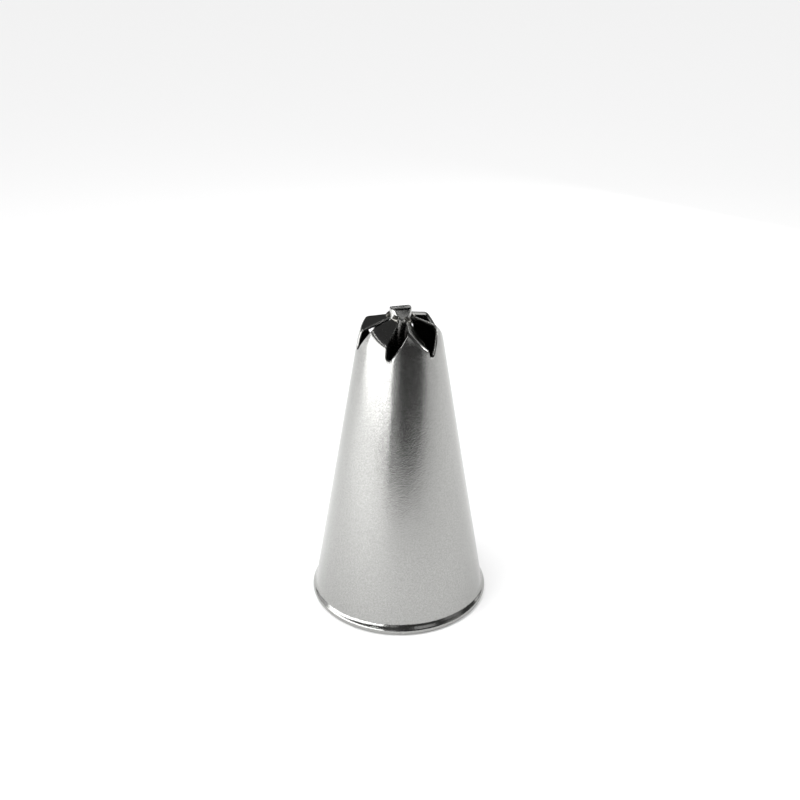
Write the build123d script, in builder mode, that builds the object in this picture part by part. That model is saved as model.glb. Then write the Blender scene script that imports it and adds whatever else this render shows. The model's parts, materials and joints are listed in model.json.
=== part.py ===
from build123d import *

import os
from math import atan2, cos, degrees, radians, sin, tan

# Drop-flower piping nozzle: a spun sheet-metal cone with six swirled blades round a centre post.
# Millimetres, +Z up, foot of the rim on z = 0, axis of the cone on Z. The front faces -Y.

# Cone: its foot circle lies inside the rim, its shoulder is where a blade's high corner meets it
rim_diameter = 18.5
rim_overhang = 0.2
shoulder_radius = 3.54
shoulder_height = 30.45
finger_press = 0.3
sheet = 0.32

# Rolled rim
bead_radius = 0.44
foot_flat = 0.05
flare_angle = 45.0

# Slots and blades, with angles counter-clockwise from the middle of each finger
finger_count = 6
tip_turn = -73.3
slot_depth = 2.6
slot_root_radius = 0.27
root_edge_angle = -27.5
high_edge_angle = -4.5
low_edge_angle = 25.0
blade_apex_rise = 1.1
blade_drop = 1.65
bend_radius = 0.45
post_end_high_angle = 8.0
post_end_low_angle = 36.0

# The blades are bent by hand, so they drop unevenly: one share for each finger
blade_drop_shares = (1.25, 1.0, 1.0, 1.0, 0.4, 0.75)

# Centre post
post_radius = 1.07
post_gap = 0.03
post_rise = 1.35
ridge_front = 0.64
ridge_back = 0.3
ridge_turn = 17.0
front_slope = 67.0
back_slope = 50.0
tenon_radius = 0.6
peened_radius = 1.0
peened_height = 0.35

# Cross bar inside the cone
bar_height = 20.0
bar_width = 2.2
bar_sheet = 0.6
bar_bend_radius = 0.5
foot_length = 2.4
wall_gap = 0.03
tenon_gap = 0.03

# Filler metal
bar_braze_leg = 0.5
tip_braze_leg = 0.34
tip_braze_cover = 0.24
braze_gap = 0.01

overrun = 2.0

# Cone wall
cone_foot_radius = rim_diameter / 2 - rim_overhang
cone_shoulder_radius = shoulder_radius + finger_press
cone_slope = (cone_foot_radius - cone_shoulder_radius) / shoulder_height
cone_angle = degrees(atan2(cone_foot_radius - cone_shoulder_radius, shoulder_height))
wall_depth = sheet / cos(radians(cone_angle))


def outer_radius(height):
    return cone_foot_radius - cone_slope * height


def inner_radius(height):
    return outer_radius(height) - wall_depth


def polar(radius, angle):
    return (radius * cos(radians(angle)), radius * sin(radians(angle)))


def upright_plane(angle):
    """Plane through the Z axis whose x direction points out at the angle."""
    return Plane(origin=(0, 0, 0), x_dir=(*polar(1, angle), 0), z_dir=(*polar(1, angle - 90), 0))


# Rim: a flare arc of the sheet's middle line runs tangent from the cone into the bead
half_sheet = sheet / 2
roll_radius = bead_radius - half_sheet
bead_centre = (rim_diameter / 2 - bead_radius, bead_radius - foot_flat)
cone_cos = cos(radians(cone_angle))
cone_sin = sin(radians(cone_angle))
flare_cos = cos(radians(flare_angle))
flare_sin = sin(radians(flare_angle))
middle_foot_radius = cone_foot_radius - wall_depth / 2
flare_reach = bead_centre[0] + roll_radius * flare_cos
flare_drop = bead_centre[1] + roll_radius * flare_sin
flare_radius = (flare_reach - middle_foot_radius + cone_slope * flare_drop) / (
    cone_cos - flare_cos - cone_slope * (flare_sin - cone_sin)
)
flare_centre = (
    flare_reach + flare_radius * flare_cos,
    flare_drop + flare_radius * flare_sin,
)


def flare_point(side, angle):
    """Point of the flare on the sheet's outer (-1) or inner (+1) side."""
    reach = flare_radius + side * half_sheet
    return (
        flare_centre[0] - reach * cos(radians(angle)),
        flare_centre[1] - reach * sin(radians(angle)),
    )


slot_root_height = shoulder_height - slot_depth
finger_base = slot_root_height + slot_root_radius
slot_middle_angle = (low_edge_angle + root_edge_angle + 360 / finger_count) / 2
flare_turn = flare_angle - cone_angle

# Cone from the rim up to the slots, with its flare and rolled bead. Its seam lies under a slot.
with BuildPart() as cone_wall:
    with BuildSketch(upright_plane(tip_turn + slot_middle_angle)):
        with BuildLine():
            Line((outer_radius(finger_base), finger_base), flare_point(-1, cone_angle))
            CenterArc(flare_centre, flare_radius - half_sheet, 180 + cone_angle, flare_turn)
            Line(flare_point(-1, flare_angle), flare_point(1, flare_angle))
            CenterArc(flare_centre, flare_radius + half_sheet, 180 + flare_angle, -flare_turn)
            Line(flare_point(1, cone_angle), (inner_radius(finger_base), finger_base))
            Line((inner_radius(finger_base), finger_base), (outer_radius(finger_base), finger_base))
        make_face()
        with Locations(bead_centre):
            Circle(bead_radius)
    revolve(axis=Axis.Z)
    split(bisect_by=Plane.XY, keep=Keep.TOP)

# Fingers: above the slot roots the cone's wall is pressed in, so it leans more up to the shoulder
finger_lean = (outer_radius(finger_base) - shoulder_radius) / (shoulder_height - finger_base)
core_foot = finger_base - overrun
cone_top = shoulder_height + 2 * overrun


def finger_radius(height):
    return outer_radius(finger_base) - finger_lean * (height - finger_base)


def finger_core(inset):
    """Solid cone inside the fingers' outer face, with its wall moved in level by the inset."""
    with BuildPart() as core:
        with BuildSketch(upright_plane(180)):
            Polygon(
                (0, core_foot),
                (finger_radius(core_foot) - inset, core_foot),
                (finger_radius(cone_top) - inset, cone_top),
                (0, cone_top),
                align=None,
            )
        revolve(axis=Axis.Z)
    return core.part


fingers_outside = finger_core(0)
fingers_inside = finger_core(wall_depth)

blade_apex = Vector(0, 0, shoulder_height + blade_apex_rise)
high_corner = polar(shoulder_radius, high_edge_angle)
high_end = polar(post_radius, post_end_high_angle)
low_end = polar(post_radius, post_end_low_angle)
web_middle_angle = (root_edge_angle + high_edge_angle) / 2
web_plane = Plane(
    origin=(*polar(inner_radius(finger_base), web_middle_angle), 0),
    x_dir=(*polar(1, web_middle_angle + 90), 0),
    z_dir=(*polar(1, web_middle_angle), 0),
)


def beyond(start, end):
    """Point past the end of a line by the overrun."""
    along = Vector(*end) - Vector(*start)
    return Vector(*end) + along.normalized() * overrun


def web_point(radius, angle, height):
    return (radius * sin(radians(angle - web_middle_angle)), height)


# Upright web of a finger, from the slot root up a slanted edge to the high corner
with BuildPart() as web_region:
    with BuildSketch(web_plane):
        Polygon(
            web_point(outer_radius(finger_base), root_edge_angle, finger_base),
            web_point(shoulder_radius, high_edge_angle, shoulder_height),
            web_point(shoulder_radius, 0, shoulder_height),
            web_point(outer_radius(finger_base), 0, finger_base),
            align=None,
        )
    extrude(amount=overrun, both=True)

# Each finger: the pressed-in wall closed by a tilted flat, the blade, that drops to the next slot.
# Its braze lies on the flat where the blade ends against the post.
fingers = []
braze_wedges = []
for drop_share in blade_drop_shares:
    low_height = shoulder_height - blade_drop * drop_share
    low_corner = polar(finger_radius(low_height), low_edge_angle)
    to_high = Vector(*high_corner, shoulder_height) - blade_apex
    to_low = Vector(*low_corner, low_height) - blade_apex
    blade_plane = Plane(origin=blade_apex, z_dir=to_high.cross(to_low))
    outline = (
        high_end,
        beyond(high_end, high_corner),
        beyond(low_end, low_corner),
        low_end,
        (0, 0),
    )

    with BuildPart() as finger_inside:
        add(fingers_inside)
        split(bisect_by=blade_plane.offset(-sheet), keep=Keep.BOTTOM)

    with BuildPart() as finger_region:
        add(web_region.part)
        with BuildSketch(Plane.XY.offset(finger_base)):
            Polygon(*outline, align=None)
        extrude(amount=cone_top - finger_base)
        Cylinder(
            post_radius + post_gap,
            cone_top,
            align=(Align.CENTER, Align.CENTER, Align.MIN),
            mode=Mode.SUBTRACT,
        )

    with BuildPart() as finger:
        add(fingers_outside)
        split(bisect_by=blade_plane, keep=Keep.BOTTOM)
        bend = finger.faces().sort_by(Axis.Z)[-1].edges()
        fillet(bend, radius=bend_radius)
        add(finger_inside.part, mode=Mode.SUBTRACT)
        add(finger_region.part, mode=Mode.INTERSECT)
    fingers.append(finger.part)

    end_middle = polar(post_radius, (post_end_high_angle + post_end_low_angle) / 2)
    end_fall = blade_plane.z_dir.X * end_middle[0] + blade_plane.z_dir.Y * end_middle[1]
    blade_end_height = blade_apex.Z - end_fall / blade_plane.z_dir.Z
    with BuildPart() as braze_wedge:
        with BuildSketch(Plane.XZ):
            Polygon(
                (post_radius + braze_gap, blade_end_height + tip_braze_leg),
                (post_radius + braze_gap, slot_root_height),
                (post_radius + tip_braze_leg, slot_root_height),
                (post_radius + tip_braze_leg, blade_end_height),
                align=None,
            )
        revolve(axis=Axis.Z)
        split(bisect_by=blade_plane.offset(braze_gap), keep=Keep.TOP)
        split(bisect_by=blade_plane.offset(tip_braze_cover), keep=Keep.BOTTOM)
        with BuildSketch(Plane.XY.offset(slot_root_height)):
            Polygon(*outline, align=None)
        extrude(amount=cone_top - slot_root_height, mode=Mode.INTERSECT)
    braze_wedges.append(braze_wedge.part)
finger_turns = [tip_turn + 360 / finger_count * number for number in range(finger_count)]

# Sheet-metal shell: cone, six fingers and the rounded slot roots
root_plane = Plane(
    origin=(0, 0, finger_base),
    z_dir=(*polar(1, slot_middle_angle), 0),
)
with BuildPart() as root_drill:
    with BuildSketch(root_plane):
        Circle(slot_root_radius)
    extrude(amount=cone_foot_radius)

with BuildPart() as nozzle_shell:
    add(cone_wall.part)
    for turn, finger_part in zip(finger_turns, fingers):
        add(finger_part, rotation=(0, 0, turn))
    with PolarLocations(0, finger_count, tip_turn):
        add(root_drill.part, mode=Mode.SUBTRACT)
nozzle_shell.part.label = "nozzle_shell"

# Centre post: round bar nipped to a blunt ridge, with a tenon peened under the cross bar
bar_top = bar_height + bar_sheet
post_top_height = shoulder_height + post_rise
tenon_foot = bar_height - peened_height
nipped_sides = (
    (1, ridge_back, (post_radius - ridge_back) * tan(radians(back_slope))),
    (-1, ridge_front, (post_radius - ridge_front) * tan(radians(front_slope))),
)
with BuildPart() as centre_post:
    with BuildSketch(Plane.XZ):
        with BuildLine():
            Polyline(
                (0, tenon_foot),
                (peened_radius, tenon_foot),
                (peened_radius, bar_height),
                (tenon_radius, bar_height),
                (tenon_radius, bar_top),
                (post_radius, bar_top),
                (post_radius, post_top_height),
                (0, post_top_height),
                (0, tenon_foot),
            )
        make_face()
    revolve(axis=Axis.Z)
    with BuildSketch(Plane.YZ.rotated((0, 0, ridge_turn))):
        with Locations((0, post_top_height)):
            for side, ridge_edge, drop in nipped_sides:
                Polygon(
                    (side * ridge_edge, 0),
                    (side * post_radius, -drop),
                    (side * post_radius, 0),
                    align=None,
                )
    extrude(amount=post_radius, both=True, mode=Mode.SUBTRACT)
centre_post.part.label = "centre_post"

# Cross bar: a strap across the cone whose two feet lie along the wall
bar_foot = bar_height - foot_length


def wall_circle(height, inset):
    return inner_radius(height) - (wall_gap + inset) / cone_cos


with BuildPart() as cross_bar:
    with BuildSketch(Plane.XY.offset(bar_foot)):
        Circle(wall_circle(bar_foot, 0))
    with BuildSketch(Plane.XY.offset(bar_top)):
        Circle(wall_circle(bar_top, 0))
    loft()
    fillet(cross_bar.faces().sort_by(Axis.Z)[-1].edges(), radius=bar_bend_radius)
    with BuildSketch(Plane.XY.offset(bar_foot)):
        Circle(wall_circle(bar_foot, bar_sheet))
    with BuildSketch(Plane.XY.offset(bar_height)):
        Circle(wall_circle(bar_height, bar_sheet))
    loft(mode=Mode.SUBTRACT)
    with BuildSketch(Plane.XY.offset(bar_foot)):
        Rectangle(2 * cone_foot_radius, bar_width)
    extrude(amount=bar_top - bar_foot, mode=Mode.INTERSECT)
    with BuildSketch(Plane.XY.offset(bar_height)):
        Circle(tenon_radius + tenon_gap)
    extrude(amount=bar_sheet, mode=Mode.SUBTRACT)
cross_bar.part.label = "cross_bar"

# Braze under each foot of the cross bar
with BuildPart() as bar_braze:
    with BuildSketch(Plane.XZ):
        Polygon(
            (inner_radius(bar_foot - braze_gap) - braze_gap, bar_foot - braze_gap),
            (inner_radius(bar_foot - braze_gap) - bar_braze_leg, bar_foot - braze_gap),
            (inner_radius(bar_foot - bar_braze_leg) - braze_gap, bar_foot - bar_braze_leg),
            align=None,
        )
    revolve(axis=Axis.Z)
    with BuildSketch(Plane.XY.offset(bar_foot - bar_braze_leg)):
        Rectangle(2 * cone_foot_radius, bar_width)
    extrude(amount=bar_braze_leg, mode=Mode.INTERSECT)
bar_braze.part.label = "bar_braze"

# Braze where the blades end against the post
with BuildPart() as tip_braze:
    for turn, wedge in zip(finger_turns, braze_wedges):
        add(wedge, rotation=(0, 0, turn))
tip_braze.part.label = "tip_braze"

os.makedirs("parts", exist_ok=True)
export_step(nozzle_shell.part, "parts/nozzle_shell.step")
export_step(centre_post.part, "parts/centre_post.step")
export_step(cross_bar.part, "parts/cross_bar.step")
export_step(bar_braze.part, "parts/bar_braze.step")
export_step(tip_braze.part, "parts/tip_braze.step")
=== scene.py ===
"""A drop-flower piping nozzle of satin stainless sheet, with a nipped post in its tip.

The frame holds every piece at its real size and place. This file makes the visible shape of each
one, gives it its finish, and sets the stage: floor, lights and camera. Lengths are in millimetres
until a piece is finished.
"""
import json
import math
from typing import NamedTuple

import bmesh
import bpy
from bpy.props import FloatProperty, FloatVectorProperty, PointerProperty, StringProperty
from mathutils import Matrix, Vector

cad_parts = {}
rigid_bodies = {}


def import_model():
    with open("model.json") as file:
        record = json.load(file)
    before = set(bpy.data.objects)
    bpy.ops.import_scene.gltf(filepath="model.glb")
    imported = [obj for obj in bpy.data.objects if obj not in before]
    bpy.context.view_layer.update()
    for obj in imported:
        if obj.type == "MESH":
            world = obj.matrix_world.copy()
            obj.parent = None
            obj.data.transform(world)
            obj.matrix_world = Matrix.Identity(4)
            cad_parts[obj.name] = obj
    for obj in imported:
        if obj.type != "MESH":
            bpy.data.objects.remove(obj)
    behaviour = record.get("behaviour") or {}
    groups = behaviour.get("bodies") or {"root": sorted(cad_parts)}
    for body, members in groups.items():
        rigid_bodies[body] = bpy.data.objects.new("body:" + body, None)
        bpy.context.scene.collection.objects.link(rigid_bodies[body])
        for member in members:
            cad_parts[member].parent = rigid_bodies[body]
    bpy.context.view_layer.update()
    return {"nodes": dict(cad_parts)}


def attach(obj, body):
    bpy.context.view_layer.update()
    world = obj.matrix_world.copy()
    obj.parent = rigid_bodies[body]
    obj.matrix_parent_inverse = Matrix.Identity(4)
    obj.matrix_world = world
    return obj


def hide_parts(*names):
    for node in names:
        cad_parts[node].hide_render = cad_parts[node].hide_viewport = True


bl_info = {
    "name": "Piping nozzle",
    "version": (1, 0, 0),
    "blender": (4, 5, 0),
    "location": "3D View > Sidebar > Piping nozzle",
    "description": "Builds, finishes and stages a drop-flower piping nozzle",
    "category": "Object",
}

MM = 0.001

# Points nearer than this are one point, in millimetres
SEAM_GAP = 0.0005
CAD_SEAM_GAP = 0.001

# Faces that turn by less than this are one flat face
FLAT = math.radians(1)

NOISE = "ShaderNodeTexNoise"

# A noise lies mostly between these values. A Map Range from narrower ones has more contrast
NOISE_SPAN = {"From Min": 0.3, "From Max": 0.7}

# Sockets of a Mix node for colours: its two colours, and the result
FIRST, SECOND, MIXED = 6, 7, 2

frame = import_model()
nodes = frame["nodes"]


def linear(colour):
    """Turns an sRGB hex string into linear red, green, blue and an alpha of 1."""
    shares = [int(colour[i : i + 2], 16) / 255 for i in (1, 3, 5)]
    return [s / 12.92 if s <= 0.04045 else ((s + 0.055) / 1.055) ** 2.4 for s in shares] + [1.0]


def add_node(tree, kind, inputs=(), **settings):
    """Adds a node. An input takes a value, or a link from another node or one of its outputs."""
    made = tree.nodes.new(kind)
    for name, value in settings.items():
        setattr(made, name, value)
    for name, value in dict(inputs).items():
        if isinstance(value, bpy.types.Node):
            value = value.outputs[0]
        if isinstance(value, bpy.types.NodeSocket):
            tree.links.new(value, made.inputs[name])
        else:
            made.inputs[name].default_value = value
    return made


def new_material(name):
    """An empty node material and its tree."""
    material = bpy.data.materials.new(name)
    material.use_nodes = True
    material.node_tree.nodes.clear()
    return material, material.node_tree


def dress(piece, *materials):
    """Gives a piece its materials in place of those it came with."""
    piece.data.materials.clear()
    for material in materials:
        piece.data.materials.append(material)


def lerp(start, end, share):
    """The place or number that lies a share of the way from start to end."""
    return start + (end - start) * share


def polar(radius, angle, height):
    """The point at a radius from the axis, an angle in degrees from +X and a height."""
    turn = math.radians(angle)
    return Vector((radius * math.cos(turn), radius * math.sin(turn), height))


def spread(start, end, margin, steps):
    """Even steps from start to end, with a narrow step of the margin's width before and after."""
    inside = [lerp(start + margin, end - margin, i / steps) for i in range(steps + 1)]
    return [start, *inside, end]


def add_patch(shape, rows, material):
    """A grid of faces whose points stand at the rows' places."""
    wide, tall = len(rows[0]), len(rows)
    made = bmesh.ops.create_grid(shape, x_segments=wide - 1, y_segments=tall - 1, size=1.0)["verts"]
    for face in {face for vert in made for face in vert.link_faces}:
        face.material_index = material
    for vert in made:
        column = round((vert.co.x + 1) / 2 * (wide - 1))
        row = round((vert.co.y + 1) / 2 * (tall - 1))
        vert.co = rows[row][column]


def new_piece(name, shape, node):
    """Makes an object of the finished shape, in metres, in the place of a CAD node."""
    bmesh.ops.scale(shape, verts=shape.verts, vec=(MM, MM, MM))
    for face in shape.faces:
        face.smooth = True
    mesh = bpy.data.meshes.new(name)
    shape.to_mesh(mesh)
    shape.free()
    piece = bpy.data.objects.new(name, mesh)
    bpy.context.scene.collection.objects.link(piece)
    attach(piece, "root")
    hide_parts(node)
    return piece


class SheetSide:
    """One side of the shell's sheet, in millimetres. It lies inside the outer face by its inset.

    A side is six like stretches round the axis, each a finger and the slot after it. A stretch has a
    body of rows from the rim up to the slots' feet, a band round the foot of the slot, and a finger.
    """

    # How many steps there are along each part of the sheet
    curl_steps = 16
    flare_steps = 5
    cone_steps = 8
    finger_steps = 20
    notch_steps = 10
    wall_steps = 8
    bend_steps = 6
    flat_steps = 6

    # Rounds that find the height where a blade's plane meets the curved wall
    bend_rounds = 12

    # Below the slots the even rows stop at the first drop. At the second, a row gathers the columns
    # by a share of the way to the slot's round foot
    even_drop = 1.0
    gathered_drop = 0.5
    gathered_share = 0.6

    # A bend's inner side is at least so round, and it takes at most this share of the wall below it.
    # The wall's slope is measured from the second share of its height
    least_bend_radius = 0.1
    bend_wall_share = 0.6
    upper_wall_share = 0.9

    def __init__(self, sizes, inset):
        self.sizes = sizes
        self.inset = inset
        self.pitch = 360 / len(sizes.blade_drop_shares)
        self.slope = (sizes.cone_foot_radius - sizes.cone_shoulder_radius) / sizes.shoulder_height
        self.lean = math.atan(self.slope)
        self.base = sizes.shoulder_height - sizes.slot_depth + sizes.slot_root_radius
        pressed = sizes.cone_shoulder_radius - sizes.pressed_radius
        self.press = pressed / (sizes.shoulder_height - self.base) ** 2

    def wall_radius(self, height, inset=None):
        """Radius of the wall, which is pressed in above the slot roots."""
        inset = self.inset if inset is None else inset
        rise = max(0.0, height - self.base)
        straight = self.sizes.cone_foot_radius - self.slope * height
        return straight - self.press * rise**2 - inset / math.cos(self.lean)

    def rim_profile(self):
        """Radius and height of each row, from the curled end of the rim up to the foot of the cone."""
        s = self.sizes
        flare = math.radians(s.flare_angle)
        bead = Vector((s.rim_diameter / 2 - s.bead_radius, s.bead_radius - s.foot_flat))
        roll = s.bead_radius - s.sheet / 2
        joint = bead + roll * Vector((math.cos(flare), math.sin(flare)))
        middle_foot = s.cone_foot_radius - s.sheet / 2 / math.cos(self.lean)
        flare_radius = (joint.x - middle_foot + self.slope * joint.y) / (
            math.cos(self.lean) - math.cos(flare) - self.slope * (math.sin(flare) - math.sin(self.lean))
        )
        centre = joint + flare_radius * Vector((math.cos(flare), math.sin(flare)))
        reach = flare_radius - s.sheet / 2 + self.inset
        rows = []
        for step in range(self.curl_steps):
            turn = lerp(math.radians(-s.curl_angle), flare, step / self.curl_steps)
            rows.append(bead + (s.bead_radius - self.inset) * Vector((math.cos(turn), math.sin(turn))))
        for step in range(self.flare_steps + 1):
            turn = lerp(flare, self.lean, step / self.flare_steps)
            rows.append(centre - reach * Vector((math.cos(turn), math.sin(turn))))
        return [(row.x, max(0.0, row.y)) for row in rows]

    def margin(self, radius):
        """Angle that the narrow step along a cut edge takes at a radius."""
        return math.degrees(self.sizes.edge_band / radius)

    def body(self):
        """Rows of the rim and cone under one finger and the slot after it."""
        s = self.sizes
        narrow = self.margin(self.wall_radius(self.base, 0))
        finger = spread(s.root_edge_angle, s.low_edge_angle, narrow, self.finger_steps)[1:-1]
        low, high = finger[-1], finger[0] + self.pitch
        even = [lerp(low, high, i / self.notch_steps) for i in range(1, self.notch_steps + 1)]
        rows = []
        profile = self.rim_profile()
        foot, top = profile[-1][1], self.base - self.even_drop
        profile += [
            (None, lerp(foot, top, step / self.cone_steps)) for step in range(1, self.cone_steps + 1)
        ]
        for radius, height in profile:
            across = self.wall_radius(height) if radius is None else radius
            rows.append([polar(across, angle, height) for angle in finger + even])
        notch = self.notch(s.slot_root_radius + s.edge_band, narrow)
        middle = self.base - self.gathered_drop
        gathered = [lerp(angle, place[0], self.gathered_share) for angle, place in zip(even, notch[1:])]
        rows.append([polar(self.wall_radius(middle), angle, middle) for angle in finger + gathered])
        last = [polar(self.wall_radius(self.base), angle, self.base) for angle in finger]
        last += [polar(self.wall_radius(height), angle, height) for angle, height in notch[1:]]
        rows.append(last)
        return rows

    def notch(self, radius, margin):
        """Angle and height of each point round the foot of a slot."""
        s = self.sizes
        far_side = s.root_edge_angle + self.pitch
        middle = (s.low_edge_angle + far_side) / 2
        half_width = (far_side - s.low_edge_angle) / 2 + margin
        turns = [math.pi * i / self.notch_steps for i in range(self.notch_steps + 1)]
        return [(middle - half_width * math.cos(t), self.base - radius * math.sin(t)) for t in turns]

    def notch_band(self):
        """Two rows round the foot of a slot, from its edge out to the cone."""
        s = self.sizes
        narrow = self.margin(self.wall_radius(self.base, 0))
        out = self.notch(s.slot_root_radius + s.edge_band, narrow)
        edge = self.notch(s.slot_root_radius, 0)
        lip = s.burr if self.inset == 0 else 0
        band = [polar(self.wall_radius(height), angle, height) for angle, height in out]
        lifts = [lip * math.sin(math.pi * i / self.notch_steps) for i in range(self.notch_steps + 1)]
        lifted = [
            polar(self.wall_radius(height) + lift, angle, height)
            for lift, (angle, height) in zip(lifts, edge)
        ]
        return [band, lifted]

    def finger(self, drop_share):
        """Rows of one finger: up its wall, round the bend and over its flat blade to the post."""
        s = self.sizes
        apex = Vector((0, 0, s.shoulder_height + s.blade_apex_rise))
        high = polar(s.pressed_radius, s.high_edge_angle, s.shoulder_height)
        low_height = s.shoulder_height - s.blade_drop * drop_share
        low = polar(self.wall_radius(low_height, 0), s.low_edge_angle, low_height)
        normal = (high - apex).cross(low - apex).normalized()
        level = normal.dot(apex) - self.inset

        def on_blade(place):
            height = (level - normal.x * place.x - normal.y * place.y) / normal.z
            return Vector((place.x, place.y, height))

        steps = self.finger_steps
        foot_margin = self.margin(self.wall_radius(self.base, 0))
        bend_margin = self.margin(s.pressed_radius)
        end_margin = self.margin(s.blade_end_radius)
        foot_angles = spread(s.root_edge_angle, s.low_edge_angle, foot_margin, steps)
        bend_angles = spread(s.high_edge_angle, s.low_edge_angle, bend_margin, steps)
        end_angles = spread(s.post_end_high_angle, s.post_end_low_angle, end_margin, steps)
        radius = max(s.bend_radius - self.inset, self.least_bend_radius)
        columns = []
        for foot_angle, bend_angle, end_angle in zip(foot_angles, bend_angles, end_angles):
            bend = polar(s.pressed_radius, bend_angle, s.shoulder_height)
            for _ in range(self.bend_rounds):
                bend = on_blade(polar(self.wall_radius(bend.z), bend_angle, 0))
            end = on_blade(polar(s.blade_end_radius, end_angle, 0))

            def on_wall(height_share):
                height = lerp(self.base, bend.z, height_share)
                angle = lerp(foot_angle, bend_angle, height_share)
                return polar(self.wall_radius(height), angle, height)

            run = (bend - on_wall(0)).length
            turn = (bend - on_wall(self.upper_wall_share)).angle(end - bend)
            setback = min(radius * math.tan(turn / 2), self.bend_wall_share * run)
            wall_share = 1 - setback / run
            start = on_wall(wall_share)
            finish = bend + (end - bend).normalized() * setback
            last = end + (bend - end).normalized() * s.edge_band
            column = [on_wall(wall_share * step / self.wall_steps) for step in range(self.wall_steps)]
            for step in range(self.bend_steps):
                round_share = step / self.bend_steps
                before, after = lerp(start, bend, round_share), lerp(bend, finish, round_share)
                column.append(lerp(before, after, round_share))
            column += [lerp(finish, last, step / self.flat_steps) for step in range(self.flat_steps + 1)]
            columns.append([*column, end])
        return [list(row) for row in zip(*columns)]

    def build(self, shape, material):
        """Adds this side to the shape, with the number of its material."""
        for number, drop_share in enumerate(self.sizes.blade_drop_shares):
            turn = Matrix.Rotation(math.radians(self.sizes.tip_turn + self.pitch * number), 3, "Z")
            for rows in (self.body(), self.notch_band(), self.finger(drop_share)):
                add_patch(shape, [[turn @ place for place in row] for row in rows], material)
        bmesh.ops.remove_doubles(shape, verts=shape.verts, dist=SEAM_GAP)


def per_mm(size):
    """Scale of a noise whose features are the size in millimetres.

    A Mapping node before it, with a scale below 1 along an axis, draws the features out that way.
    """
    return 1 / (size * MM)


def finish_metal(material, tree, colour, roughness, relief):
    """Gives bare metal its shader. The relief is layers of a height and its depth in millimetres."""
    under = {}
    for height, depth in relief:
        inputs = {"Height": height, "Strength": 1.0, "Distance": depth * MM, **under}
        under = {"Normal": add_node(tree, "ShaderNodeBump", inputs)}
    inputs = {"Base Color": colour, "Metallic": 1.0, "Roughness": roughness, **under}
    shader = add_node(tree, "ShaderNodeBsdfPrincipled", inputs)
    add_node(tree, "ShaderNodeOutputMaterial", {"Surface": shader})
    return material


# 304 stainless sheet, spun and barrel-tumbled: satin, with a fine mottled grain, soft bands up the
# cone from forming and the rim burnished a little brighter. The grain is drawn as coarse as it needs
# to show
def tumbled_stainless(look):
    material, tree = new_material("tumbled_stainless_sheet")
    grain_share, burnish_share = 0.1, -0.08
    place = add_node(tree, "ShaderNodeTexCoord").outputs["Object"]
    grain = add_node(
        tree, NOISE, {"Vector": place, "Scale": per_mm(look.grain_size), "Detail": 2.0, "Roughness": 0.6}
    )
    drawn = add_node(tree, "ShaderNodeMapping", {"Vector": place, "Scale": (1.0, 1.0, 0.4)})
    streak = add_node(
        tree,
        NOISE,
        {"Vector": drawn, "Scale": per_mm(look.streak_width), "Detail": 2.0, "Roughness": 0.55},
    )
    upright = add_node(tree, "ShaderNodeMapping", {"Vector": place, "Scale": (1.0, 1.0, 0.08)})
    bands = add_node(tree, NOISE, {"Vector": upright, "Scale": per_mm(look.band_width), "Detail": 1.0})
    height = add_node(tree, "ShaderNodeSeparateXYZ", {"Vector": place}).outputs["Z"]
    rim = add_node(
        tree,
        "ShaderNodeMapRange",
        {
            "Value": height,
            "From Min": look.burnish_full * MM,
            "From Max": look.burnish_end * MM,
            "To Min": 1.0,
            "To Max": 0.0,
        },
    )
    worn = add_node(tree, "ShaderNodeMath", {0: grain, 1: grain_share}, operation="MULTIPLY")
    satin = add_node(tree, "ShaderNodeMath", {0: worn, 1: look.roughness}, operation="ADD")
    burnished = add_node(
        tree, "ShaderNodeMath", {0: rim, 1: burnish_share, 2: satin}, operation="MULTIPLY_ADD"
    )
    mottle = add_node(tree, "ShaderNodeMapRange", {"Value": grain, **NOISE_SPAN})
    colour = add_node(
        tree,
        "ShaderNodeMix",
        {0: mottle, FIRST: linear(look.sheet_shade), SECOND: linear(look.sheet_colour)},
        data_type="RGBA",
    ).outputs[MIXED]
    relief = ((bands, look.band_depth), (streak, look.streak_depth), (grain, look.grain_depth))
    return finish_metal(material, tree, colour, burnished, relief)


# The same sheet inside: duller, and darker in colour than the outside, with spinning rings
def spun_inside():
    material, tree = new_material("spun_stainless_inside")
    place = add_node(tree, "ShaderNodeTexCoord").outputs["Object"]
    ring_width, ring_depth, grain_size, grain_depth = 0.3, 0.012, 0.15, 0.006
    round_axis = add_node(tree, "ShaderNodeMapping", {"Vector": place, "Scale": (0.04, 0.04, 1.0)})
    rings = add_node(tree, NOISE, {"Vector": round_axis, "Scale": per_mm(ring_width), "Detail": 3.0})
    grain = add_node(tree, NOISE, {"Vector": place, "Scale": per_mm(grain_size), "Detail": 2.0})
    share = add_node(tree, "ShaderNodeMapRange", {"Value": rings, **NOISE_SPAN})
    colour = add_node(
        tree,
        "ShaderNodeMix",
        {0: share, FIRST: linear("#6E6E6C"), SECOND: linear("#8A8A88")},
        data_type="RGBA",
    ).outputs[MIXED]
    roughness = add_node(
        tree,
        "ShaderNodeMapRange",
        {"Value": grain, **NOISE_SPAN, "To Min": 0.34, "To Max": 0.46},
    )
    return finish_metal(material, tree, colour, roughness, ((rings, ring_depth), (grain, grain_depth)))
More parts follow.
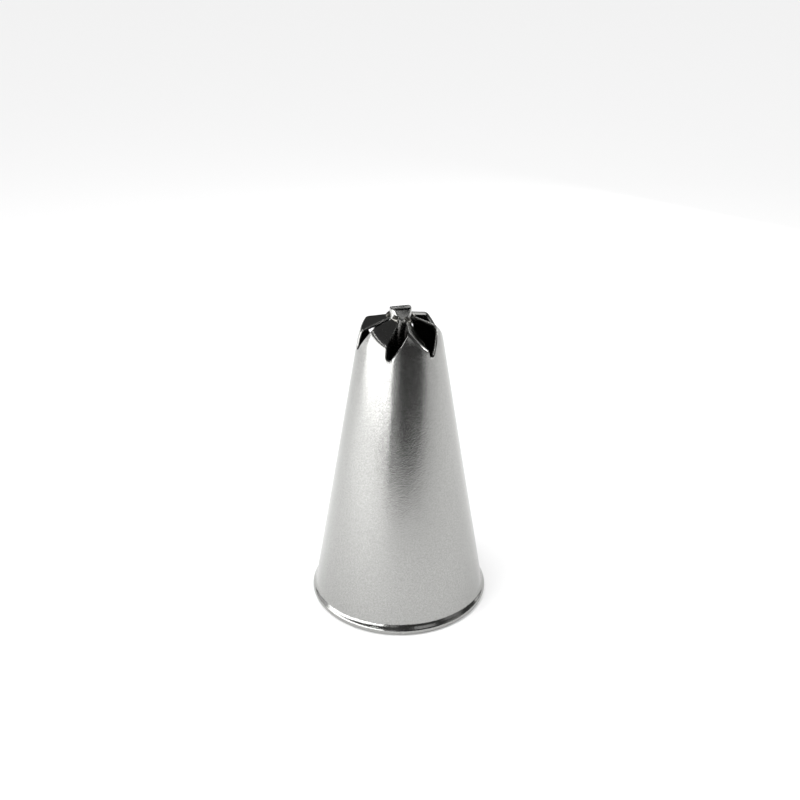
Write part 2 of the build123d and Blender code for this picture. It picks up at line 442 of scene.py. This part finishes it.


# Sheared sheet edge, rubbed round by tumbling, with a little torn grain left across it. Its colour is
# lighter than the sheet's, partly as a painted highlight
def sheared_edge():
    material, tree = new_material("sheared_stainless_edge")
    place = add_node(tree, "ShaderNodeTexCoord").outputs["Object"]
    tear_width, tear_depth = 0.09, 0.012
    torn = add_node(tree, "ShaderNodeMapping", {"Vector": place, "Scale": (1.0, 1.0, 0.4)})
    tear = add_node(tree, NOISE, {"Vector": torn, "Scale": per_mm(tear_width), "Detail": 3.0})
    share = add_node(tree, "ShaderNodeMapRange", {"Value": tear, "From Min": 0.35, "From Max": 0.65})
    # Partly painted highlight: the edge gets a lighter colour than the sheet, so the rounded cut edges
    # read bright
    colour = add_node(
        tree,
        "ShaderNodeMix",
        {0: share, FIRST: linear("#A9A9A7"), SECOND: linear("#D2D2D0")},
        data_type="RGBA",
    ).outputs[MIXED]
    roughness = add_node(
        tree,
        "ShaderNodeMapRange",
        {"Value": tear, **NOISE_SPAN, "To Min": 0.18, "To Max": 0.34},
    )
    return finish_metal(material, tree, colour, roughness, ((tear, tear_depth),))


# Drawn stainless bar: fine lines along it, a brighter, slightly torn face where it was nipped off,
# and below the tip a painted shade that darkens the bar where it stands inside the nozzle under the
# blades
def drawn_pin(post):
    material, tree = new_material("drawn_stainless_pin")
    place = add_node(tree, "ShaderNodeTexCoord").outputs["Object"]
    line_width, line_depth, tear_width, tear_depth = 0.1, 0.0015, 0.16, 0.004
    along = add_node(tree, "ShaderNodeMapping", {"Vector": place, "Scale": (1.0, 1.0, 0.06)})
    lines = add_node(tree, NOISE, {"Vector": along, "Scale": per_mm(line_width), "Detail": 2.0})
    across = add_node(tree, "ShaderNodeMapping", {"Vector": place, "Scale": (1.0, 0.35, 1.0)})
    tear = add_node(tree, NOISE, {"Vector": across, "Scale": per_mm(tear_width), "Detail": 3.0})
    share = add_node(tree, "ShaderNodeMapRange", {"Value": tear, **NOISE_SPAN})
    nipped = add_node(
        tree,
        "ShaderNodeMix",
        {0: share, FIRST: linear("#A4A4A2"), SECOND: linear("#C6C6C4")},
        data_type="RGBA",
    ).outputs[MIXED]
    height = add_node(tree, "ShaderNodeSeparateXYZ", {"Vector": place}).outputs["Z"]
    painted_shade = add_node(
        tree,
        "ShaderNodeMapRange",
        {
            "Value": height,
            "From Min": post.painted_shade_full * MM,
            "From Max": post.painted_shade_end * MM,
            "To Min": 1.0,
            "To Max": 0.0,
        },
    )
    # Painted shade: below the tip the bar's colour goes dark, standing in for the shade inside the
    # nozzle under the blades
    colour = add_node(
        tree,
        "ShaderNodeMix",
        {0: painted_shade, FIRST: nipped, SECOND: linear("#4A4846")},
        data_type="RGBA",
    ).outputs[MIXED]
    roughness = add_node(
        tree,
        "ShaderNodeMapRange",
        {"Value": tear, **NOISE_SPAN, "To Min": 0.2, "To Max": 0.3},
    )
    return finish_metal(material, tree, colour, roughness, ((lines, line_depth), (tear, tear_depth)))


# Stainless strip, rolled and sheared: dull, with rolling lines along the strap
def sheared_strip():
    material, tree = new_material("sheared_stainless_strip")
    place = add_node(tree, "ShaderNodeTexCoord").outputs["Object"]
    line_width, line_depth, grain_size = 0.14, 0.01, 0.2
    along = add_node(tree, "ShaderNodeMapping", {"Vector": place, "Scale": (0.05, 1.0, 1.0)})
    lines = add_node(tree, NOISE, {"Vector": along, "Scale": per_mm(line_width), "Detail": 3.0})
    grain = add_node(tree, NOISE, {"Vector": place, "Scale": per_mm(grain_size), "Detail": 2.0})
    share = add_node(tree, "ShaderNodeMapRange", {"Value": lines, **NOISE_SPAN})
    colour = add_node(
        tree,
        "ShaderNodeMix",
        {0: share, FIRST: linear("#858583"), SECOND: linear("#A8A8A6")},
        data_type="RGBA",
    ).outputs[MIXED]
    roughness = add_node(
        tree,
        "ShaderNodeMapRange",
        {"Value": grain, **NOISE_SPAN, "To Min": 0.3, "To Max": 0.44},
    )
    return finish_metal(material, tree, colour, roughness, ((lines, line_depth),))


# Silver braze: flowed and set in soft lumps, a little warm, dulled in places by flux
def flowed_braze():
    material, tree = new_material("flowed_silver_braze")
    place = add_node(tree, "ShaderNodeTexCoord").outputs["Object"]
    lump_size, lump_depth, flux_size = 0.3, 0.03, 0.12
    lumps = add_node(tree, NOISE, {"Vector": place, "Scale": per_mm(lump_size), "Detail": 2.0})
    flux = add_node(tree, NOISE, {"Vector": place, "Scale": per_mm(flux_size), "Detail": 3.0})
    share = add_node(tree, "ShaderNodeMapRange", {"Value": flux, "From Min": 0.45, "From Max": 0.65})
    colour = add_node(
        tree,
        "ShaderNodeMix",
        {0: share, FIRST: linear("#B4B2AC"), SECOND: linear("#7A766E")},
        data_type="RGBA",
    ).outputs[MIXED]
    roughness = add_node(
        tree,
        "ShaderNodeMapRange",
        {"Value": flux, "From Min": 0.4, "From Max": 0.7, "To Min": 0.22, "To Max": 0.45},
    )
    return finish_metal(material, tree, colour, roughness, ((lumps, lump_depth),))


class NOZZLE_PG_sizes(bpy.types.PropertyGroup):
    """Sizes of the sheet-metal shell, in millimetres, as in the CAD model."""

    rim_diameter: FloatProperty(
        name="Rim diameter", description="Across the rolled rim, in millimetres", default=18.5
    )
    cone_foot_radius: FloatProperty(
        name="Cone foot radius",
        description="Of the cone's line where it meets the floor, in millimetres",
        default=9.05,
    )
    cone_shoulder_radius: FloatProperty(
        name="Cone shoulder radius",
        description="Of the unpressed cone at the shoulder, in millimetres",
        default=3.84,
    )
    pressed_radius: FloatProperty(
        name="Pressed radius", description="Of the fingers at the shoulder, in millimetres", default=3.54
    )
    shoulder_height: FloatProperty(
        name="Shoulder height",
        description="Where a blade's high corner meets the wall, in millimetres",
        default=30.45,
    )
    sheet: FloatProperty(
        name="Sheet", description="Thickness of the sheet, in millimetres", default=0.32
    )
    bead_radius: FloatProperty(
        name="Bead radius", description="Of the rolled rim, in millimetres", default=0.44
    )
    foot_flat: FloatProperty(
        name="Foot flat", description="Worn off under the rim, in millimetres", default=0.05
    )
    flare_angle: FloatProperty(
        name="Flare angle", description="Where the flare meets the bead, in degrees", default=45.0
    )
    curl_angle: FloatProperty(
        name="Curl angle",
        description="How far below level the sheet curls round the bead, in degrees",
        default=225.0,
    )
    slot_depth: FloatProperty(
        name="Slot depth", description="From the shoulder, in millimetres", default=2.6
    )
    slot_root_radius: FloatProperty(name="Slot root radius", description="In millimetres", default=0.27)
    root_edge_angle: FloatProperty(
        name="Root edge angle",
        description="Of a finger's high side at its foot, in degrees",
        default=-27.5,
    )
    high_edge_angle: FloatProperty(
        name="High edge angle", description="Of a finger's high corner, in degrees", default=-4.5
    )
    low_edge_angle: FloatProperty(
        name="Low edge angle", description="Of a finger's low side, in degrees", default=25.0
    )
    blade_apex_rise: FloatProperty(
        name="Blade apex rise",
        description="Of a blade's plane on the axis, above the shoulder, in millimetres",
        default=1.1,
    )
    blade_drop: FloatProperty(
        name="Blade drop",
        description="From a blade's high corner to its low one, in millimetres",
        default=1.65,
    )
    blade_drop_shares: FloatVectorProperty(
        name="Blade drop shares",
        description="How far each blade drops, as a share of the blade drop",
        size=6,
        default=(1.25, 1.0, 1.0, 1.0, 0.5, 0.75),
    )
    bend_radius: FloatProperty(
        name="Bend radius", description="Outside the bend, in millimetres", default=0.7
    )
    burr: FloatProperty(
        name="Burr",
        description="Lip that the slotting tool left round the foot of a slot, in millimetres",
        default=0.06,
    )
    blade_end_radius: FloatProperty(
        name="Blade end radius",
        description="Where the blades stop round the post, in millimetres",
        default=1.1,
    )
    post_end_high_angle: FloatProperty(
        name="High end angle", description="Of a blade's high side at the post, in degrees", default=8.0
    )
    post_end_low_angle: FloatProperty(
        name="Low end angle", description="Of a blade's low side at the post, in degrees", default=36.0
    )
    tip_turn: FloatProperty(
        name="Tip turn", description="Of the first finger, in degrees", default=-73.3
    )
    edge_rounding: FloatProperty(
        name="Edge rounding", description="Off the cut edges by tumbling, in millimetres", default=0.12
    )
    edge_band: FloatProperty(
        name="Edge band", description="Width of the faces along a cut edge, in millimetres", default=0.15
    )


class NOZZLE_PG_post(bpy.types.PropertyGroup):
    """Sizes of the centre post and its strap, in millimetres, as in the CAD model."""

    radius: FloatProperty(name="Radius", description="Of the bar, in millimetres", default=1.07)
    top: FloatProperty(name="Top", description="Height of the ridge, in millimetres", default=31.8)
    ridge_front: FloatProperty(
        name="Ridge front", description="From the axis to the front nip, in millimetres", default=0.64
    )
    ridge_back: FloatProperty(
        name="Ridge back", description="From the axis to the back nip, in millimetres", default=0.3
    )
    ridge_turn: FloatProperty(
        name="Ridge turn", description="Of the ridge about the axis, in degrees", default=17.0
    )
    front_slope: FloatProperty(
        name="Front slope", description="Of the front nip, in degrees", default=67.0
    )
    back_slope: FloatProperty(name="Back slope", description="Of the back nip, in degrees", default=50.0)
    tenon_radius: FloatProperty(
        name="Tenon radius", description="Through the strap, in millimetres", default=0.6
    )
    peened_radius: FloatProperty(
        name="Peened radius", description="Of the tenon's head, in millimetres", default=1.0
    )
    peened_height: FloatProperty(
        name="Peened height", description="Of the tenon's head, in millimetres", default=0.35
    )
    strap_height: FloatProperty(
        name="Strap height", description="Of the strap's underside, in millimetres", default=20.0
    )
    strap_sheet: FloatProperty(
        name="Strap sheet", description="Thickness of the strap, in millimetres", default=0.6
    )
    edge_rounding: FloatProperty(
        name="Edge rounding", description="Of the turned edges, in millimetres", default=0.05
    )
    nip_rounding: FloatProperty(
        name="Nip rounding", description="Of the nipped edges, in millimetres", default=0.13
    )
    strap_rounding: FloatProperty(
        name="Strap rounding", description="Of the strap's edges, in millimetres", default=0.05
    )
    # Heights of the painted shade on the post, which stands in for the shade inside the nozzle
    painted_shade_full: FloatProperty(
        name="Full painted shade",
        description="Height below which the tint is full, in millimetres",
        default=29.6,
    )
    painted_shade_end: FloatProperty(
        name="End of painted shade",
        description="Height above which the post is bright, in millimetres",
        default=30.6,
    )


class NOZZLE_PG_look(bpy.types.PropertyGroup):
    """Finish of the metal."""

    sheet_colour: StringProperty(
        name="Sheet colour",
        description="Colour of the stainless sheet, as an sRGB hex value",
        default="#AAAAA8",
    )
    sheet_shade: StringProperty(
        name="Sheet shade",
        description="Colour of the sheet's darker mottles, as an sRGB hex value",
        default="#969694",
    )
    roughness: FloatProperty(
        name="Roughness",
        description="Of the tumbled sheet",
        default=0.16,
        min=0.0,
        max=1.0,
        subtype="FACTOR",
    )
    burnish_full: FloatProperty(
        name="Full burnish",
        description="Height below which the rim is burnished, in millimetres",
        default=1.0,
    )
    burnish_end: FloatProperty(
        name="End of burnish",
        description="Height above which the sheet is satin, in millimetres",
        default=2.2,
    )
    streak_width: FloatProperty(
        name="Streak width", description="Of the short upright streaks, in millimetres", default=0.3
    )
    streak_depth: FloatProperty(
        name="Streak depth",
        description="Height of the short upright streaks, in millimetres",
        default=0.004,
    )
    grain_size: FloatProperty(
        name="Grain size", description="Width of one mottle, in millimetres", default=0.15
    )
    grain_depth: FloatProperty(
        name="Grain depth", description="Height of the mottle, in millimetres", default=0.007
    )
    band_width: FloatProperty(
        name="Band width", description="Width of a forming band, in millimetres", default=1.2
    )
    band_depth: FloatProperty(
        name="Band depth", description="Height of a forming band, in millimetres", default=0.03
    )


class NOZZLE_PG_stage(bpy.types.PropertyGroup):
    """Camera, floor, room and the light from above."""

    camera_distance: FloatProperty(
        name="Camera distance",
        description="From the lens to the axis point it orbits, in millimetres",
        default=105.5,
    )
    camera_elevation: FloatProperty(
        name="Camera elevation",
        description="Height of the lens above that point",
        default=math.radians(27.64),
        subtype="ANGLE",
    )
    camera_fall: FloatProperty(
        name="Camera fall",
        description="How far the view looks below the horizon",
        default=math.radians(25.225),
        subtype="ANGLE",
    )
    camera_roll: FloatProperty(
        name="Camera roll",
        description="Turn of the camera about its own view",
        default=math.radians(0.37),
        subtype="ANGLE",
    )
    orbit_height: FloatProperty(
        name="Orbit height",
        description="Height on the axis that the camera orbits, in millimetres",
        default=17.0,
    )
    lens: FloatProperty(
        name="Lens", description="Focal length for a 36 mm sensor, in millimetres", default=46.63
    )
    floor_colour: StringProperty(
        name="Floor colour", description="As an sRGB hex value", default="#F4F4F4"
    )
    floor_roughness: FloatProperty(
        name="Floor roughness", description="Of the paper", default=0.9, subtype="FACTOR"
    )
    room_colour: StringProperty(
        name="Room colour",
        description="What the metal mirrors beyond the panels, as an sRGB hex value",
        default="#484848",
    )
    backdrop_colour: StringProperty(
        name="Backdrop colour",
        description="What the camera sees past the floor, as an sRGB hex value",
        default="#FFFFFF",
    )
    ceiling_strength: FloatProperty(
        name="Ceiling strength",
        description="Of the light from above, in watts per square metre",
        default=3.05,
    )
    ceiling_spread: FloatProperty(
        name="Ceiling spread",
        description="Width of the light from above",
        default=math.radians(120),
        subtype="ANGLE",
    )


class NOZZLE_OT_shell(bpy.types.Operator):
    """Form the sheet-metal shell: rolled rim, cone, slots and six bent fingers"""

    bl_idname = "nozzle.shell"
    bl_label = "Shell"

    def execute(self, context):
        sizes = context.scene.nozzle_sizes
        shape = bmesh.new()
        insets = (0.0, sizes.sheet)
        for material, inset in enumerate(insets):
            side = bmesh.new()
            SheetSide(sizes, inset).build(side, material)
            mesh = bpy.data.meshes.new("side")
            side.to_mesh(mesh)
            side.free()
            shape.from_mesh(mesh)
            bpy.data.meshes.remove(mesh)

        # The sheet's cut faces close it, and take the material after those of its two sides
        cut = [edge for edge in shape.edges if edge.is_boundary]
        curl = [edge for edge in cut if edge.verts[0].co.z < sizes.slot_depth]
        tip = [edge for edge in cut if edge.verts[0].co.z > sizes.slot_depth]
        for edges in (curl, tip):
            made = bmesh.ops.bridge_loops(shape, edges=edges)["faces"]
            if len(made) * 2 != len(edges):
                raise RuntimeError("the sheet's cut faces did not close")
            for face in made:
                face.material_index = len(insets)
        bmesh.ops.recalc_face_normals(shape, faces=shape.faces)
        bmesh.ops.bevel(
            shape,
            geom=tip,
            offset=sizes.edge_rounding,
            affect="EDGES",
            segments=3,
            profile=0.5,
            material=-1,
        )
        piece = new_piece("shell", shape, "nozzle_shell")
        return {"FINISHED"}


class NOZZLE_OT_post(bpy.types.Operator):
    """Turn the centre post and nip its top to a blunt ridge"""

    bl_idname = "nozzle.post"
    bl_label = "Post"

    # An edge is rounded where its faces turn by more than this
    sharp_turn = math.radians(20)

    def execute(self, context):
        post = context.scene.nozzle_post
        strap_top = post.strap_height + post.strap_sheet
        tenon_foot = post.strap_height - post.peened_height
        profile = (
            (0, tenon_foot),
            (post.peened_radius, tenon_foot),
            (post.peened_radius, post.strap_height),
            (post.tenon_radius, post.strap_height),
            (post.tenon_radius, strap_top),
            (post.radius, strap_top),
            (post.radius, post.top),
            (0, post.top),
        )
        shape = bmesh.new()
        points = [shape.verts.new((radius, 0, height)) for radius, height in profile]
        edges = [shape.edges.new(pair) for pair in zip(points, points[1:])]
        bmesh.ops.spin(
            shape,
            geom=points + edges,
            cent=(0, 0, 0),
            axis=(0, 0, 1),
            angle=math.tau,
            steps=72,
            use_merge=True,
        )
        bmesh.ops.remove_doubles(shape, verts=shape.verts, dist=SEAM_GAP)
        across = Matrix.Rotation(math.radians(post.ridge_turn), 3, "Z") @ Vector((0, 1, 0))
        back = (1, post.ridge_back, post.back_slope)
        front = (-1, post.ridge_front, post.front_slope)
        for side, ridge, slope in (back, front):
            fall = math.radians(slope)
            bmesh.ops.bisect_plane(
                shape,
                geom=shape.verts[:] + shape.edges[:] + shape.faces[:],
                dist=CAD_SEAM_GAP,
                plane_co=across * side * ridge + Vector((0, 0, post.top)),
                plane_no=across * side * math.sin(fall) + Vector((0, 0, math.cos(fall))),
                clear_outer=True,
            )
            rim = [edge for edge in shape.edges if edge.is_boundary]
            bmesh.ops.holes_fill(shape, edges=rim, sides=0)
        bmesh.ops.dissolve_limit(shape, angle_limit=FLAT, verts=shape.verts, edges=shape.edges)
        bmesh.ops.recalc_face_normals(shape, faces=shape.faces)
        halfway = (strap_top + post.top) / 2
        sharp = [edge for edge in shape.edges if edge.calc_face_angle(0) > self.sharp_turn]
        nipped = [edge for edge in sharp if max(vert.co.z for vert in edge.verts) > halfway]
        turned = [edge for edge in sharp if edge not in nipped]
        for edges, offset in ((nipped, post.nip_rounding), (turned, post.edge_rounding)):
            bmesh.ops.bevel(
                shape, geom=edges, offset=offset, affect="EDGES", segments=4, profile=0.5, material=-1
            )
        for vert in shape.verts:
            vert.co.z = min(vert.co.z, post.top)
        piece = new_piece("post", shape, "centre_post")
        return {"FINISHED"}


def copied_shape(node):
    """A copy of a CAD node's shape, merged, in millimetres."""
    shape = bmesh.new()
    shape.from_mesh(nodes[node].data)
    bmesh.ops.scale(shape, verts=shape.verts, vec=(1 / MM, 1 / MM, 1 / MM))
    bmesh.ops.remove_doubles(shape, verts=shape.verts, dist=CAD_SEAM_GAP)
    bmesh.ops.dissolve_limit(shape, angle_limit=FLAT, verts=shape.verts, edges=shape.edges)
    return shape


class NOZZLE_OT_strap(bpy.types.Operator):
    """Round the edges of the strap across the cone"""

    bl_idname = "nozzle.strap"
    bl_label = "Strap"

    # An edge is rounded where its faces turn by more than this
    sharp_turn = math.radians(40)

    def execute(self, context):
        rounding = context.scene.nozzle_post.strap_rounding
        shape = copied_shape("cross_bar")
        edges = [edge for edge in shape.edges if edge.calc_face_angle(0) > self.sharp_turn]
        bmesh.ops.bevel(
            shape, geom=edges, offset=rounding, affect="EDGES", segments=2, profile=0.5, material=-1
        )
        piece = new_piece("strap", shape, "cross_bar")
        return {"FINISHED"}


class NOZZLE_OT_braze(bpy.types.Operator):
    """Soften the braze under the strap's feet and at the ends of the blades"""

    bl_idname = "nozzle.braze"
    bl_label = "Braze"

    def execute(self, context):
        for name, node in (("foot_braze", "bar_braze"), ("blade_braze", "tip_braze")):
            shape = copied_shape(node)
            bmesh.ops.triangulate(shape, faces=shape.faces)
            bmesh.ops.subdivide_edges(shape, edges=shape.edges, cuts=1, use_grid_fill=True)
            piece = new_piece(name, shape, node)
            soft = piece.modifiers.new("flow", "SUBSURF")
            soft.levels = 1
            soft.render_levels = 1
        return {"FINISHED"}


class NOZZLE_OT_metal(bpy.types.Operator):
    """Give every metal piece its finish"""

    bl_idname = "nozzle.metal"
    bl_label = "Metal"

    def execute(self, context):
        scene = context.scene
        pieces = bpy.data.objects
        dress(pieces["shell"], tumbled_stainless(scene.nozzle_look), spun_inside(), sheared_edge())
        dress(pieces["post"], drawn_pin(scene.nozzle_post))
        dress(pieces["strap"], sheared_strip())
        braze = flowed_braze()
        dress(pieces["foot_braze"], braze)
        dress(pieces["blade_braze"], braze)
        return {"FINISHED"}


class SoftPanel(NamedTuple):
    """A flat light, in millimetres, that faces a height on the axis.

    Azimuth 0 is in front and 90 to the right. Its radiance stays the same when its size changes.
    """

    name: str
    azimuth: float
    distance: float
    height: float
    width: float
    tall: float
    radiance: float
    aim_height: float
    reflected: bool = True

    def hang(self, scene):
        """Puts the light in the scene, where the camera doesn't see it."""
        data = bpy.data.lights.new(self.name, "AREA")
        data.shape = "RECTANGLE"
        data.size = self.width * MM
        data.size_y = self.tall * MM
        data.energy = self.radiance * math.pi * data.size * data.size_y
        light = bpy.data.objects.new(self.name, data)
        scene.collection.objects.link(light)
        turn = math.radians(self.azimuth)
        across, away = math.sin(turn) * self.distance, math.cos(turn) * self.distance
        place = Vector((across, -away, self.height)) * MM
        aim = Vector((0, 0, self.aim_height)) * MM
        light.location = place
        light.rotation_mode = "QUATERNION"
        light.rotation_quaternion = (aim - place).to_track_quat("-Z", "Y")
        light.visible_camera = False
        light.visible_glossy = self.reflected


# Panels that the metal mirrors, two small lamps for its bright spots, and two pools of light on the
# floor beside the rim. The numbers are azimuth, distance, height, width, tall, radiance, aim height
PANELS = (
    SoftPanel("softbox_left", -55, 105, 28, 165, 42, 4.0, 22),
    SoftPanel("softbox_left_back", -112, 110, 30, 80, 46, 0.8, 22),
    SoftPanel("strip_left", -68, 105, 108, 190, 9, 5.0, 30),
    SoftPanel("panel_front", -7, 120, 30, 24, 60, 0.35, 27),
    SoftPanel("panel_front_right", 34, 150, 95, 70, 44, 0.5, 31),
    SoftPanel("panel_right", 70, 150, 40, 70, 60, 0.26, 25),
    SoftPanel("panel_right_back", 136, 160, 45, 170, 60, 1.0, 25),
    SoftPanel("panel_back", 180, 150, 95, 90, 40, 0.8, 31),
    SoftPanel("lamp_front", -10, 190, 215, 34, 34, 14.0, 30),
    SoftPanel("lamp_right", 103, 150, 72, 16, 16, 30.0, 30),
    SoftPanel("pool_left", -66, 62, 60, 50, 50, 2.2, 0, reflected=False),
    SoftPanel("pool_right", 95, 72, 60, 50, 50, 0.9, 0, reflected=False),
)


class NOZZLE_OT_stage(bpy.types.Operator):
    """Set the floor, the lights, the surroundings and the camera"""

    bl_idname = "nozzle.stage"
    bl_label = "Stage"

    # Edges of the floor, in millimetres from the axis. The front one lies under the camera, so that
    # the upper cone mirrors the dark room in front of it
    floor_front, floor_back, floor_side = -88, 1200, 900

    # Width of the camera's sensor in millimetres, and the nearest and farthest that it sees in metres
    sensor_width = 36.0
    nearest, farthest = 0.001, 10.0

    def execute(self, context):
        scene = context.scene
        stage = scene.nozzle_stage
        self.floor(scene, stage)
        self.lights(scene, stage)
        self.surroundings(scene, stage)
        self.camera(scene, stage)
        return {"FINISHED"}

    def floor(self, scene, stage):
        """White paper, flat and matt."""
        front, back, side = self.floor_front * MM, self.floor_back * MM, self.floor_side * MM
        shape = bmesh.new()
        bmesh.ops.create_grid(shape, x_segments=1, y_segments=1, size=1.0)
        bmesh.ops.scale(shape, verts=shape.verts, vec=(side, (back - front) / 2, 1))
        bmesh.ops.translate(shape, verts=shape.verts, vec=(0, (back + front) / 2, 0))
        mesh = bpy.data.meshes.new("floor")
        shape.to_mesh(mesh)
        shape.free()
        floor = bpy.data.objects.new("floor", mesh)
        scene.collection.objects.link(floor)
        material, tree = new_material("white_paper")
        inputs = {"Base Color": linear(stage.floor_colour), "Roughness": stage.floor_roughness}
        shader = add_node(tree, "ShaderNodeBsdfPrincipled", inputs)
        add_node(tree, "ShaderNodeOutputMaterial", {"Surface": shader})
        dress(floor, material)

    def lights(self, scene, stage):
        """The panels, and a wide soft light from above that the metal doesn't mirror."""
        for panel in PANELS:
            panel.hang(scene)
        data = bpy.data.lights.new("ceiling", "SUN")
        data.energy = stage.ceiling_strength
        data.angle = stage.ceiling_spread
        ceiling = bpy.data.objects.new("ceiling", data)
        scene.collection.objects.link(ceiling)
        ceiling.visible_glossy = False

    def surroundings(self, scene, stage):
        """A dim room, which the camera sees as white."""
        world = bpy.data.worlds.new("dim_studio")
        scene.world = world
        world.use_nodes = True
        tree = world.node_tree
        tree.nodes.clear()
        seen = add_node(tree, "ShaderNodeLightPath").outputs["Is Camera Ray"]
        room = add_node(tree, "ShaderNodeBackground", {"Color": linear(stage.room_colour)})
        backdrop = add_node(tree, "ShaderNodeBackground", {"Color": linear(stage.backdrop_colour)})
        mix = add_node(tree, "ShaderNodeMixShader", {0: seen, 1: room, 2: backdrop})
        add_node(tree, "ShaderNodeOutputWorld", {"Surface": mix})
        scene.view_settings.view_transform = "Standard"

    def camera(self, scene, stage):
        """The camera in front of the nozzle, at the photograph's angle."""
        data = bpy.data.cameras.new("camera")
        data.sensor_width = self.sensor_width
        data.lens = stage.lens
        data.clip_start = self.nearest
        data.clip_end = self.farthest
        camera = bpy.data.objects.new("camera", data)
        scene.collection.objects.link(camera)
        out = stage.camera_distance * math.cos(stage.camera_elevation)
        up = stage.orbit_height + stage.camera_distance * math.sin(stage.camera_elevation)
        tilt = Matrix.Rotation(math.pi / 2 - stage.camera_fall, 4, "X")
        roll = Matrix.Rotation(stage.camera_roll, 4, "Z")
        camera.matrix_world = Matrix.Translation((0, -out * MM, up * MM)) @ tilt @ roll
        scene.camera = camera


class NOZZLE_PT_panel(bpy.types.Panel):
    """Sidebar panel with the sizes, colours and build buttons"""

    bl_idname = "NOZZLE_PT_panel"
    bl_label = "Piping nozzle"
    bl_space_type = "VIEW_3D"
    bl_region_type = "UI"
    bl_category = "Piping nozzle"

    def draw(self, context):
        layout = self.layout
        scene = context.scene
        for group in (scene.nozzle_sizes, scene.nozzle_post, scene.nozzle_look, scene.nozzle_stage):
            for name in group.bl_rna.properties.keys():
                if name not in ("rna_type", "name"):
                    layout.prop(group, name)
        for operator in OPERATORS:
            layout.operator(operator.bl_idname)


GROUPS = (NOZZLE_PG_sizes, NOZZLE_PG_post, NOZZLE_PG_look, NOZZLE_PG_stage)
OPERATORS = (
    NOZZLE_OT_shell,
    NOZZLE_OT_post,
    NOZZLE_OT_strap,
    NOZZLE_OT_braze,
    NOZZLE_OT_metal,
    NOZZLE_OT_stage,
)
CLASSES = (*GROUPS, *OPERATORS, NOZZLE_PT_panel)


def register():
    for cls in CLASSES:
        bpy.utils.register_class(cls)
    bpy.types.Scene.nozzle_sizes = PointerProperty(type=NOZZLE_PG_sizes)
    bpy.types.Scene.nozzle_post = PointerProperty(type=NOZZLE_PG_post)
    bpy.types.Scene.nozzle_look = PointerProperty(type=NOZZLE_PG_look)
    bpy.types.Scene.nozzle_stage = PointerProperty(type=NOZZLE_PG_stage)


def unregister():
    del bpy.types.Scene.nozzle_stage
    del bpy.types.Scene.nozzle_look
    del bpy.types.Scene.nozzle_post
    del bpy.types.Scene.nozzle_sizes
    for cls in reversed(CLASSES):
        bpy.utils.unregister_class(cls)


def main():
    register()
    bpy.ops.nozzle.shell()
    bpy.ops.nozzle.post()
    bpy.ops.nozzle.strap()
    bpy.ops.nozzle.braze()
    bpy.ops.nozzle.metal()
    bpy.ops.nozzle.stage()


if __name__ == "__main__":
    main()
